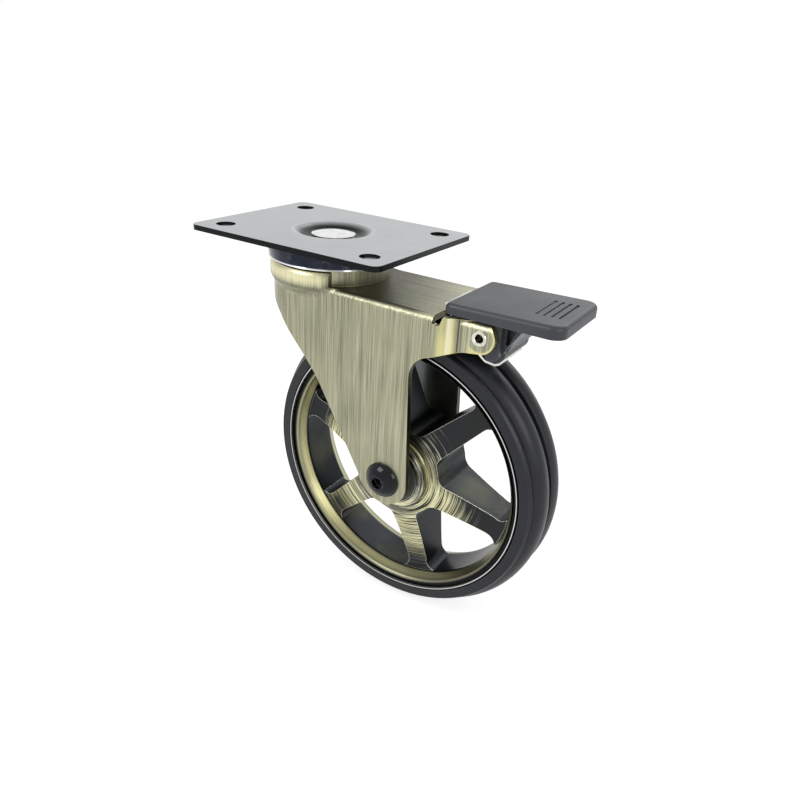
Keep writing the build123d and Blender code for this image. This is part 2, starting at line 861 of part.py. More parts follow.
# Brake pedal: the pad and, between the ears, the body with its cam nose
pad_top_start_z = pad_underside_z + pad_thickness - pad_lift / 2
pad_top_end_z = pad_underside_z + pad_thickness + pad_lift / 2
body_top_z = pad_underside_z + pad_thickness / 2
nose_centre = (nose_x, nose_z)
front_touch = touch_point((body_front_x, pivot_z), nose_centre, nose_radius, 1)
rear_touch = touch_point((body_rear_x, pad_underside_z), nose_centre, nose_radius, -1)

# Side outline of the pedal's web, from the pad to its nose
with BuildSketch() as pedal_side:
    with BuildLine():
        Polyline(
            front_touch,
            (body_front_x, pivot_z),
            (body_front_x, body_top_z),
            (body_rear_x, body_top_z),
            (body_rear_x, pad_underside_z),
            rear_touch,
        )
        ThreePointArc(rear_touch, (nose_x, nose_z - nose_radius), front_touch)
    make_face()

with BuildPart() as brake_pedal:
    with BuildSketch(Plane.XZ):
        with BuildLine():
            Polyline(
                (pad_start_x, pad_underside_z),
                (pad_end_x, pad_underside_z),
                (pad_end_x, pad_top_end_z),
                (pad_start_x, pad_top_start_z),
                close=True,
            )
        make_face()
    extrude(amount=pad_half_width, both=True)
    uprights = brake_pedal.edges().filter_by(Axis.Z).group_by(Axis.X)
    fillet(uprights[0], pad_corner_inner)
    fillet(brake_pedal.edges().filter_by(Axis.Z).group_by(Axis.X)[-1], pad_corner_outer)
    fillet(brake_pedal.faces().sort_by(Axis.Z)[-1].edges(), pad_edge)
    # grip grooves across the pad's free end
    with BuildSketch(Plane.XY.offset(pad_top_end_z + pad_edge)):
        with Locations((grip_first_x + grip_pitch * (grip_count - 1) / 2, 0)):
            with GridLocations(grip_pitch, grip_pitch, grip_count, 1):
                Rectangle(grip_width, grip_length)
    extrude(amount=-pad_edge - grip_depth - pad_lift / 4, mode=Mode.SUBTRACT)
    # the web under the pad, down to the round nose
    web_half = pedal_body_half - cheek_height
    with BuildSketch(Plane.XZ):
        add(pedal_side.sketch)
    extrude(amount=web_half, both=True)
    # a pocket in each side of the web
    with BuildSketch(Plane.XZ):
        with BuildLine():
            FilletPolyline(
                (pocket_front_x, pad_underside_z),
                (pocket_rear_x, pad_underside_z),
                (pocket_front_x, pocket_low_z),
                radius=[pocket_bend, pocket_bend, pocket_bend],
                close=True,
            )
        make_face()
    extrude(amount=pad_half_width, both=True, mode=Mode.SUBTRACT)
    with BuildSketch(Plane.XZ):
        with BuildLine():
            Polyline(
                (pocket_front_x - pocket_bend, body_top_z),
                (pocket_rear_x + pocket_bend, body_top_z),
                (pocket_rear_x + pocket_bend, pad_underside_z),
                (pocket_front_x, pocket_low_z - pocket_bend),
                (pocket_front_x - pocket_bend, pocket_low_z - pocket_bend),
                close=True,
            )
        make_face()
    extrude(amount=pedal_body_half - pocket_depth, both=True)
    # cheeks that run between the ears, and the cam that bears on the leaf
    with BuildSketch(Plane.XZ):
        add(pedal_side.sketch)
        with Locations((cheek_rear_x, body_top_z)):
            Rectangle(body_rear_x, -pivot_z, align=(Align.MIN, Align.MAX), mode=Mode.SUBTRACT)
    extrude(amount=pedal_body_half, both=True)
    with BuildSketch(Plane.XZ):
        with Locations((cam_x, cam_z)):
            Circle(cam_radius)
    extrude(amount=cam_half_width, both=True)
    with BuildSketch(pivot_plane):
        Circle(rivet_radius + running_gap)
    extrude(amount=ear_half_width, both=True, mode=Mode.SUBTRACT)
brake_pedal.part.label = "brake_pedal"
export_step(brake_pedal.part, "parts/brake_pedal.step")

# Pedal rivet, a tube flanged over both ears
with BuildPart() as pedal_rivet:
    with BuildSketch(pivot_plane):
        Circle(rivet_radius)
    extrude(amount=ear_half_width, both=True)
    for rivet_side in (-1, 1):
        with BuildSketch(pivot_plane.offset(rivet_side * ear_half_width)):
            Circle(rivet_flange_radius)
        extrude(amount=rivet_side * rivet_flange)
    with BuildSketch(pivot_plane):
        Circle(rivet_bore_radius)
    extrude(amount=ear_half_width + rivet_flange, both=True, mode=Mode.SUBTRACT)
    near_rims = pedal_rivet.edges().filter_by(GeomType.CIRCLE).group_by(Axis.Y)[0]
    chamfer(near_rims, rivet_edge)
    far_rims = pedal_rivet.edges().filter_by(GeomType.CIRCLE).group_by(Axis.Y)[-1]
    chamfer(far_rims, rivet_edge)
pedal_rivet.part.label = "pedal_rivet"
export_step(pedal_rivet.part, "parts/pedal_rivet.step")

# Brake leaf, hooked over the crown's end and curved round under the cam nose
hook_x = crown_end_x + free_gap
hook_z = crown_top_z + free_gap + leaf_thickness
with BuildPart() as brake_leaf:
    with BuildSketch(Plane.XZ):
        with BuildLine():
            leaf_line = FilletPolyline(
                (crown_end_x - leaf_hook, hook_z),
                (hook_x, hook_z),
                (hook_x, crown_underside_z - leaf_drop),
                (leaf_heel_x, leaf_heel_z),
                (leaf_low_x, leaf_low_z),
                (leaf_tip_x, leaf_tip_z),
                radius=[leaf_hook_bend, leaf_bend, leaf_bend, leaf_bend / 2],
            )
            offset(leaf_line, amount=leaf_thickness, side=Side.LEFT)
        make_face()
    extrude(amount=leaf_half_width, both=True)
brake_leaf.part.label = "brake_leaf"
export_step(brake_leaf.part, "parts/brake_leaf.step")
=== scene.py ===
"""Looks of a braked swivel castor with a spoked wheel.

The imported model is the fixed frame, in metres. Each sub-assembly is a class that holds the
finishes of its pieces and dresses them. Each finish is a frozen class: its fields say what
colours it has and where they change, and its build method makes one material.
"""
import logging
import math
from dataclasses import dataclass
from enum import Enum
from typing import NamedTuple

import bpy
from mathutils import Matrix, Vector

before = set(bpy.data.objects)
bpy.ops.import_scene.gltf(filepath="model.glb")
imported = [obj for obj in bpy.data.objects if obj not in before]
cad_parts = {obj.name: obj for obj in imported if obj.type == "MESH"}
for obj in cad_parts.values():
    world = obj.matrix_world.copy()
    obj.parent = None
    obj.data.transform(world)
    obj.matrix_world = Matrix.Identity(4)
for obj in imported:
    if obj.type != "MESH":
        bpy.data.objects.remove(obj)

LOG = logging.getLogger("castor")
MM = 0.001
AXLE_X = 50.5 * MM
AXLE_Z = -106.0 * MM

Socket = bpy.types.NodeSocket
Colour = tuple[float, float, float]
Stops = tuple[tuple[float, Colour], ...]
Number = Socket | float
Paint = Socket | Colour


class Band(NamedTuple):
    """A range of some value, and the amounts that a finish has at the range's two ends."""

    low: float
    high: float
    start: float = 0.0
    end: float = 1.0

    def times(self, share: float) -> "Band":
        """Return the band with both amounts multiplied."""
        return Band(self.low, self.high, self.start * share, self.end * share)


def mm(low: float, high: float, start: float = 0.0, end: float = 1.0) -> Band:
    """Return a band whose range is given in millimetres."""
    return Band(low * MM, high * MM, start, end)


def soft(start: float, end: float) -> Band:
    """Return a band over the values that a soft random pattern mostly has."""
    return Band(0.3, 0.7, start, end)


class Pattern(NamedTuple):
    """A soft random pattern: how fine it is, and how many and how strong its finer layers."""

    scale: float
    layers: float
    strength: float = 0.5


class Relief(NamedTuple):
    """How deep a pattern lies in a surface, in metres, and how much of it shows."""

    depth: float
    strength: float


class Brush(Enum):
    """The way that fine lines run: how closely they lie along X, Y and Z, and their pattern."""

    PLATE = ((60.0, 900.0, 60.0), Pattern(1.0, 4.0))
    LEG_FINE = ((3400.0, 3400.0, 30.0), Pattern(1.0, 2.0, 0.6))
    LEG_BROAD = ((700.0, 700.0, 11.0), Pattern(1.0, 2.0))
    CROWN = ((30.0, 1700.0, 30.0), Pattern(1.0, 3.0))
    SCRATCH = ((60.0, 1600.0, 60.0), Pattern(1.0, 3.0))


class Stuff(Enum):
    """What a surface is made of, as how metallic its shader is."""

    METAL = 1.0
    PLASTIC = 0.0


class Graph:
    """A material's node tree, with a short call for each kind of node."""

    BEVEL_SAMPLES = 6
    EDGE_TURN = Band(0.995, 0.86)

    def __init__(self, name: str) -> None:
        """Start a material with one surface shader.

        Args:
            name: the material's name.
        """
        self.material = bpy.data.materials.new(name)
        self.material.use_nodes = True
        self.tree = self.material.node_tree
        self.tree.nodes.clear()
        output = self.tree.nodes.new("ShaderNodeOutputMaterial")
        self.shader = self.tree.nodes.new("ShaderNodeBsdfPrincipled")
        self.tree.links.new(self.shader.outputs["BSDF"], output.inputs["Surface"])
        coordinates = self.tree.nodes.new("ShaderNodeTexCoord")
        self.place = coordinates.outputs["Object"]
        self.facing = coordinates.outputs["Normal"]

    def put(self, target: Socket, value: Number | Paint) -> None:
        """Link a socket to an output, or set it to a plain value.

        Args:
            target: the input socket.
            value: an output socket, a number, or a colour.
        """
        if isinstance(value, Socket):
            self.tree.links.new(value, target)
        elif isinstance(value, tuple) and target.type == "RGBA":
            target.default_value = (*value, 1.0)
        else:
            target.default_value = value

    def maths(self, operation: str, *values: Number) -> Socket:
        """Work out a number.

        Args:
            operation: the name of the sum, such as DIVIDE.
            values: its one or two numbers or outputs.

        Returns:
            The answer's output.
        """
        node = self.tree.nodes.new("ShaderNodeMath")
        node.operation = operation
        for socket, value in zip(node.inputs, values):
            self.put(socket, value)
        return node.outputs[0]

    def times(self, first: Number, second: Number) -> Socket:
        """Return the product of two numbers."""
        return self.maths("MULTIPLY", first, second)

    def plus(self, first: Number, second: Number) -> Socket:
        """Return the sum of two numbers."""
        return self.maths("ADD", first, second)

    def minus(self, first: Number, second: Number) -> Socket:
        """Return the first number less the second."""
        return self.maths("SUBTRACT", first, second)

    def size(self, value: Number) -> Socket:
        """Return a number without its sign."""
        return self.maths("ABSOLUTE", value)

    def vector(self, operation: str, *values: Paint) -> Socket:
        """Work out a vector, or the number that a dot product or a length gives.

        Args:
            operation: the name of the sum, such as DOT_PRODUCT.
            values: its vectors.

        Returns:
            The answer's output.
        """
        node = self.tree.nodes.new("ShaderNodeVectorMath")
        node.operation = operation
        for socket, value in zip(node.inputs, values):
            self.put(socket, value)
        return node.outputs["Value" if operation in ("DOT_PRODUCT", "LENGTH") else "Vector"]

    def split(self, value: Socket) -> tuple[Socket, Socket, Socket]:
        """Part a vector into its three numbers.

        Args:
            value: the vector.

        Returns:
            Its X, Y and Z outputs.
        """
        node = self.tree.nodes.new("ShaderNodeSeparateXYZ")
        self.put(node.inputs[0], value)
        return node.outputs[0], node.outputs[1], node.outputs[2]

    def join(self, x: Number, y: Number, z: Number) -> Socket:
        """Make a vector of three numbers.

        Args:
            x: the first number or output.
            y: the second.
            z: the third.

        Returns:
            The vector's output.
        """
        node = self.tree.nodes.new("ShaderNodeCombineXYZ")
        for socket, value in zip(node.inputs, (x, y, z)):
            self.put(socket, value)
        return node.outputs[0]

    def reach(self, first: Number, second: Number) -> Socket:
        """Return how far a point is from the middle, by its two distances."""
        return self.vector("LENGTH", self.join(first, second, 0.0))

    def noise(self, place: Socket, pattern: Pattern) -> Socket:
        """Read a soft random pattern.

        Args:
            place: where it is read.
            pattern: how fine it is and what finer layers it has.

        Returns:
            A number about one half.
        """
        node = self.tree.nodes.new("ShaderNodeTexNoise")
        self.put(node.inputs["Vector"], place)
        for name, value in zip(("Scale", "Detail", "Roughness"), pattern):
            node.inputs[name].default_value = value
        return node.outputs["Fac"]

    def lines(self, brush: Brush) -> Socket:
        """Return a random pattern that is drawn out into fine lines."""
        stretch, pattern = brush.value
        return self.noise(self.vector("MULTIPLY", self.place, stretch), pattern)

    def span(self, value: Number, band: Band) -> Socket:
        """Carry a number from a band's range to its amounts, held at both ends.

        Args:
            value: the number.
            band: the range and the amounts.

        Returns:
            The answer's output.
        """
        node = self.tree.nodes.new("ShaderNodeMapRange")
        node.interpolation_type = "SMOOTHSTEP"
        for socket, item in zip(node.inputs, (value, *band)):
            self.put(socket, item)
        return node.outputs["Result"]

    def near(self, value: Socket, middle: float, band: Band) -> Socket:
        """Return a band's amount by how far a number is from a middle."""
        return self.span(self.size(self.minus(value, middle)), band)

    def mix(self, factor: Number, first: Paint, second: Paint) -> Socket:
        """Blend two colours.

        Args:
            factor: 0 for the first, 1 for the second.
            first: a colour or its output.
            second: a colour or its output.

        Returns:
            The blend's output.
        """
        node = self.tree.nodes.new("ShaderNodeMix")
        node.data_type = "RGBA"
        self.put(node.inputs["Factor"], factor)
        self.put(node.inputs[6], first)
        self.put(node.inputs[7], second)
        return node.outputs[2]

    def scaled(self, colour: Paint, share: Number) -> Socket:
        """Make a colour lighter or darker.

        Args:
            colour: the colour.
            share: how much of it is left, above 1 for lighter.

        Returns:
            The new colour's output.
        """
        shade = self.vector("SCALE", colour)
        self.put(shade.node.inputs["Scale"], share)
        return shade

    def ramp(self, factor: Socket, stops: Stops) -> Socket:
        """Read a colour from a row of colours.

        Args:
            factor: where on the row, from 0 to 1.
            stops: each colour and its place.

        Returns:
            The colour's output.
        """
        node = self.tree.nodes.new("ShaderNodeValToRGB")
        self.put(node.inputs[0], factor)
        elements = node.color_ramp.elements
        while len(elements) < len(stops):
            elements.new(0.5)
        for element, (place, colour) in zip(elements, stops):
            element.position = place
            element.color = (*colour, 1.0)
        return node.outputs["Color"]

    def bump(self, height: Socket, relief: Relief) -> None:
        """Roughen the surface.

        Args:
            height: the height pattern, from 0 to 1.
            relief: how deep it is, and how much of it shows.
        """
        node = self.tree.nodes.new("ShaderNodeBump")
        node.inputs["Distance"].default_value = relief.depth
        node.inputs["Strength"].default_value = relief.strength
        self.put(node.inputs["Height"], height)
        self.put(self.shader.inputs["Normal"], node.outputs["Normal"])

    def edges(self, width: float) -> Socket:
        """Find the sharp edges, where a finish wears and where an edge highlight is painted.

        Args:
            width: how far the rubbing and the painted highlight reach from an edge, in metres.

        Returns:
            A number that is 1 at an edge and 0 on a flat.
        """
        node = self.tree.nodes.new("ShaderNodeBevel")
        node.samples = self.BEVEL_SAMPLES
        node.inputs["Radius"].default_value = width
        geometry = self.tree.nodes.new("ShaderNodeNewGeometry")
        alike = self.vector("DOT_PRODUCT", node.outputs["Normal"], geometry.outputs["Normal"])
        return self.span(alike, self.EDGE_TURN)

    def surface(self, colour: Paint, stuff: Stuff, rough: Number) -> None:
        """Set the shader's colour, metal and roughness.

        Args:
            colour: the base colour.
            stuff: what the surface is made of.
            rough: how rough it is.
        """
        self.put(self.shader.inputs["Base Color"], colour)
        self.put(self.shader.inputs["Metallic"], stuff.value)
        self.put(self.shader.inputs["Roughness"], rough)


@dataclass(frozen=True)
class PlateFinish:
    """Bright zinc, faintly brushed, with painted shade in its dish and on its edges and painted
    light on the dish's rim and in its holes.
    """

    face: Colour = (0.430, 0.450, 0.455)
    # Painted shade: the dark of the dish, the side faces and the upper hole walls.
    shade: Colour = (0.014, 0.016, 0.017)
    # Painted light: the lower part of each bolt hole's wall.
    hole_painted_light: Colour = (0.40, 0.42, 0.42)
    # Painted highlight: a thin bright ring round the dish's rim.
    rim_painted_highlight: Colour = (0.80, 0.82, 0.82)
    hole_x: float = 41.0 * MM
    hole_y: float = 28.5 * MM
    hole_edge: Band = mm(5.0, 5.4, 1.0, 0.0)
    below_skin: Band = mm(-1.3, -2.4)
    dish: Band = mm(14.4, 18.9)
    dish_rim: float = 18.9 * MM
    rim_highlight_line: Band = mm(0.1, 1.0, 0.25, 0.0)
    level_face: Band = Band(0.45, 0.85)
    streak_tone: Band = soft(-0.05, 0.05)
    cloud: Pattern = Pattern(38.0, 2.0)
    cloud_tone: Band = soft(0.93, 1.05)
    rough: Band = Band(0.2, 0.8, 0.28, 0.40)
    relief: Relief = Relief(0.01 * MM, 0.5)

    def build(self) -> bpy.types.Material:
        """Make the plate's material.

        Returns:
            The material.
        """
        g = Graph("zinc_plate")
        x, y, z = g.split(g.place)
        _, _, up = g.split(g.facing)
        reach = g.reach(x, y)
        streak = g.lines(Brush.PLATE)
        cloud = g.noise(g.place, self.cloud)
        tone = g.plus(g.span(streak, self.streak_tone), g.span(cloud, self.cloud_tone))
        # Painted shade inside the dish.
        lit = g.mix(g.span(reach, self.dish), self.shade, self.face)
        # Painted highlight round the dish's rim.
        lit = g.mix(g.near(reach, self.dish_rim, self.rim_highlight_line), lit, self.rim_painted_highlight)
        top = g.span(g.size(up), self.level_face)
        off_x = g.minus(g.size(x), self.hole_x)
        off_y = g.minus(g.size(y), self.hole_y)
        # Painted light low in each bolt hole; the rest of the wall keeps the painted shade.
        in_hole = g.span(g.reach(off_x, off_y), self.hole_edge)
        lower = g.times(in_hole, g.span(z, self.below_skin))
        wall = g.mix(lower, self.shade, self.hole_painted_light)
        # Faces that are not level take the painted shade.
        colour = g.mix(top, wall, g.scaled(lit, tone))
        g.surface(colour, Stuff.METAL, g.span(cloud, self.rough))
        g.bump(streak, self.relief)
        return g.material


@dataclass(frozen=True)
class PolishedFinish:
    """Polished steel with faint turning rings about the swivel axis."""

    name: str = "polished_steel"
    face: Colour = (0.84, 0.85, 0.83)
    rough: float = 0.14
    rough_shares: Band = Band(0.2, 0.8, 0.7, 1.5)
    ring: Pattern = Pattern(2600.0, 2.0)
    smear: Pattern = Pattern(240.0, 3.0)
    smear_tone: Band = Band(0.35, 0.75, 1.0, 0.78)
    relief: Relief = Relief(0.01 * MM, 0.4)

    def build(self) -> bpy.types.Material:
        """Make the polished material.

        Returns:
            The material.
        """
        g = Graph(self.name)
        x, y, _ = g.split(g.place)
        ring = g.noise(g.join(g.reach(x, y), 0.0, 0.0), self.ring)
        smear = g.noise(g.place, self.smear)
        shade = g.scaled(self.face, g.span(smear, self.smear_tone))
        g.surface(shade, Stuff.METAL, g.span(ring, self.rough_shares.times(self.rough)))
        g.bump(ring, self.relief)
        return g.material


@dataclass(frozen=True)
class CoverFinish:
    """Dark chrome with a painted highlight on the rolled rim."""

    wall: Colour = (0.020, 0.023, 0.033)
    smeared: Colour = (0.07, 0.078, 0.10)
    # Painted highlight: the rolled rim below the lip.
    rim: Colour = (0.82, 0.83, 0.84)
    lip: Band = mm(-11.0, -11.5)
    smear: Pattern = Pattern(170.0, 4.0, 0.6)
    smear_edge: Band = Band(0.45, 0.8)
    rough: Band = soft(0.10, 0.24)
    relief: Relief = Relief(0.01 * MM, 0.3)

    def build(self) -> bpy.types.Material:
        """Make the race cover's material.

        Returns:
            The material.
        """
        g = Graph("dark_chrome")
        _, _, z = g.split(g.place)
        smear = g.noise(g.place, self.smear)
        wall = g.mix(g.span(smear, self.smear_edge), self.wall, self.smeared)
        # Painted highlight on the rim under the lip.
        colour = g.mix(g.span(z, self.lip), wall, self.rim)
        g.surface(colour, Stuff.METAL, g.span(smear, self.rough))
        g.bump(smear, self.relief)
        return g.material


@dataclass(frozen=True)
class ForkFinish:
    """Antique brass plating, brushed down the legs, with painted yellow highlights round the ears
    and painted shade.
    """

    plating: Stops = (
        (0.34, (0.19, 0.186, 0.128)),
        (0.50, (0.340, 0.336, 0.234)),
        (0.64, (0.44, 0.435, 0.310)),
    )
    fine_share: float = 0.7
    cloud: Pattern = Pattern(26.0, 2.0)
    cloud_tone: Band = soft(-0.04, 0.04)
    streak_tone: Band = Band(0.34, 0.66, 0.90, 1.08)
    rough: Band = soft(0.44, 0.32)
    sheen_stretch: float = 0.55
    relief: Relief = Relief(0.02 * MM, 0.5)

    # Painted shade: the crown is dark under the plate and light towards the pedal.
    crown: Stops = (
        (0.0, (0.060, 0.058, 0.038)),
        (0.38, (0.155, 0.150, 0.100)),
        (1.0, (0.40, 0.395, 0.29)),
    )
    crown_length: Band = mm(14.0, 66.0)
    crown_grain: Band = soft(0.78, 1.2)
    level_face: Band = Band(0.75, 0.95)

    # Painted highlight on the front of the boss.
    boss: Colour = (0.78, 0.74, 0.47)
    boss_height: Band = mm(-21.0, -16.5)
    boss_fade: Band = mm(10.0, 22.0, 0.85, 0.10)
    # Painted shade in the neck under the boss.
    neck_shade: Colour = (0.13, 0.115, 0.075)
    neck_z: float = -21.0 * MM
    neck_line: Band = mm(0.2, 1.9, 0.6, 0.0)
    neck_fade: Band = mm(12.0, 18.0, 1.0, 0.0)
    # Painted shadow in the pocket where the boss meets the crown.
    pocket_start: Band = mm(13.0, 17.5)
    pocket_fade: Band = mm(22.0, 32.0, 1.0, 0.3)
    pocket_height: Band = mm(-20.0, -14.5, 0.85, 0.35)
    pocket_floor: Band = mm(-20.4, -19.6)

    # Painted yellow highlight on the joggle and the ears' rim; also the rubbed brass at edges.
    yellow: Colour = (0.66, 0.61, 0.29)
    joggle_start: Band = mm(71.5, 75.0)
    joggle_end: Band = mm(78.6, 80.6, 1.0, 0.0)
    joggle_height: Band = mm(-23.4, -31.4, 0.6, 1.0)
    pivot_x: float = 90.6 * MM
    pivot_z: float = -25.4 * MM
    ear_rim: Band = mm(5.5, 6.3)
    ear_start: Band = mm(84.6, 87.6)
    ear_amount: float = 0.9
    # Painted highlight on the joggle's crest.
    crest_highlight: Colour = (0.86, 0.83, 0.60)
    crest_x: float = 77.4 * MM
    crest_line: Band = mm(0.3, 1.6, 0.7, 0.0)
    # Painted shade: the pocket's shadow, the line in the joggle's inner bend and the rear edge
    # faces.
    fork_shade: Colour = (0.045, 0.042, 0.028)
    seam_x: float = 81.0 * MM
    seam_line: Band = mm(0.22, 0.42, 0.85, 0.0)

    # Painted shade on the rear edge faces low on the legs.
    back_face: Band = Band(0.5, 0.8)
    back_height: Band = mm(-33.0, -38.0)
    # Painted shade on the inner faces of the legs.
    inside: Colour = (0.21, 0.23, 0.23)
    inner_face: Band = Band(-0.3, -0.6)
    # Edges: yellow brass where the plating is rubbed through, with a painted highlight along them.
    bright_edge_width: float = 0.4 * MM
    bright_edges_inside: Band = Band(0.0, 1.0, 0.7, 0.1)

    def head_end(self, g: Graph, colour: Socket, x: Socket, z: Socket) -> Socket:
        """Paint the boss's painted highlight, the painted shade in the neck under it and the
        painted shadow in the pocket behind it.

        Args:
            g: the fork's graph.
            colour: the plating's colour.
            x: the place along X.
            z: the place along Z.

        Returns:
            The painted colour's output.
        """
        # Painted highlight on the front of the boss.
        boss = g.times(g.span(z, self.boss_height), g.span(x, self.boss_fade))
        colour = g.mix(boss, colour, self.boss)
        # Painted shade in the neck under the boss.
        neck = g.times(g.near(z, self.neck_z, self.neck_line), g.span(x, self.neck_fade))
        colour = g.mix(neck, colour, self.neck_shade)
        # Painted shadow in the pocket where the boss meets the crown.
        pocket = g.times(g.span(x, self.pocket_start), g.span(x, self.pocket_fade))
        pocket = g.times(pocket, g.span(z, self.pocket_height))
        pocket = g.times(pocket, g.span(z, self.pocket_floor))
        return g.mix(pocket, colour, self.fork_shade)

    def yellow_highlights(self, g: Graph, x: Socket, z: Socket) -> Socket:
        """Find where a yellow highlight is painted: the joggle and the rim of the ears.

        Args:
            g: the fork's graph.
            x: the place along X.
            z: the place along Z.

        Returns:
            A number that is 1 where the yellow highlight is painted.
        """
        joggle = g.times(g.span(x, self.joggle_start), g.span(x, self.joggle_end))
        joggle = g.times(joggle, g.span(z, self.joggle_height))
        from_pivot = g.reach(g.minus(x, self.pivot_x), g.minus(z, self.pivot_z))
        ear = g.times(g.span(from_pivot, self.ear_rim), g.span(x, self.ear_start))
        return g.maths("MAXIMUM", joggle, g.times(ear, self.ear_amount))

    def pedal_end(self, g: Graph, colour: Socket, x: Socket, z: Socket) -> Socket:
        """Paint the yellow highlights, the painted highlight on the joggle's crest and the painted
        shade in the bend behind it.

        Args:
            g: the fork's graph.
            colour: the plating's colour.
            x: the place along X.
            z: the place along Z.

        Returns:
            The painted colour's output.
        """
        # Painted yellow highlights on the joggle and round the ears.
        colour = g.mix(self.yellow_highlights(g, x, z), colour, self.yellow)
        # Painted highlight on the joggle's crest.
        colour = g.mix(g.near(x, self.crest_x, self.crest_line), colour, self.crest_highlight)
        # Painted shade in the joggle's inner bend.
        return g.mix(g.near(x, self.seam_x, self.seam_line), colour, self.fork_shade)

    def crown_colour(self, g: Graph, x: Socket) -> Socket:
        """Paint the crown with painted shade, dark under the plate and light towards the pedal.

        Args:
            g: the fork's graph.
            x: the place along X.

        Returns:
            The crown's colour.
        """
        grain = g.lines(Brush.CROWN)
        crown = g.ramp(g.span(x, self.crown_length), self.crown)
        return g.scaled(crown, g.span(grain, self.crown_grain))

    def build(self) -> bpy.types.Material:
        """Make the fork's material.

        Returns:
            The material.
        """
        g = Graph("brushed_brass_fork")
        x, y, z = g.split(g.place)
        ahead, aside, up = g.split(g.facing)
        fine = g.lines(Brush.LEG_FINE)
        broad = g.lines(Brush.LEG_BROAD)
        streak = g.plus(g.times(fine, self.fine_share), g.times(broad, 1.0 - self.fine_share))
        cloud = g.noise(g.place, self.cloud)
        colour = g.ramp(g.plus(streak, g.span(cloud, self.cloud_tone)), self.plating)
        colour = self.head_end(g, colour, x, z)
        colour = self.pedal_end(g, colour, x, z)
        colour = g.mix(g.span(up, self.level_face), colour, self.crown_colour(g, x))
        # Painted shade on the rear edge faces low on the legs.
        back = g.times(g.span(ahead, self.back_face), g.span(z, self.back_height))
        colour = g.mix(back, colour, self.fork_shade)
        colour = g.scaled(colour, g.span(streak, self.streak_tone))
        # Painted shade on the inner faces of the legs.
        inward = g.span(g.times(g.maths("SIGN", y), aside), self.inner_face)
        colour = g.mix(inward, colour, self.inside)
        # Rubbed edges with a painted edge highlight, fainter on the inner faces.
        worn_and_lit_edges = g.times(g.edges(self.bright_edge_width), g.span(inward, self.bright_edges_inside))
        colour = g.mix(worn_and_lit_edges, colour, self.yellow)
        g.surface(colour, Stuff.METAL, g.span(streak, self.rough))
        g.shader.inputs["Anisotropic"].default_value = self.sheen_stretch
        brushed_way = g.join(0.0, 0.0, 1.0)
        g.put(g.shader.inputs["Tangent"], brushed_way)
        g.bump(streak, self.relief)
        return g.material


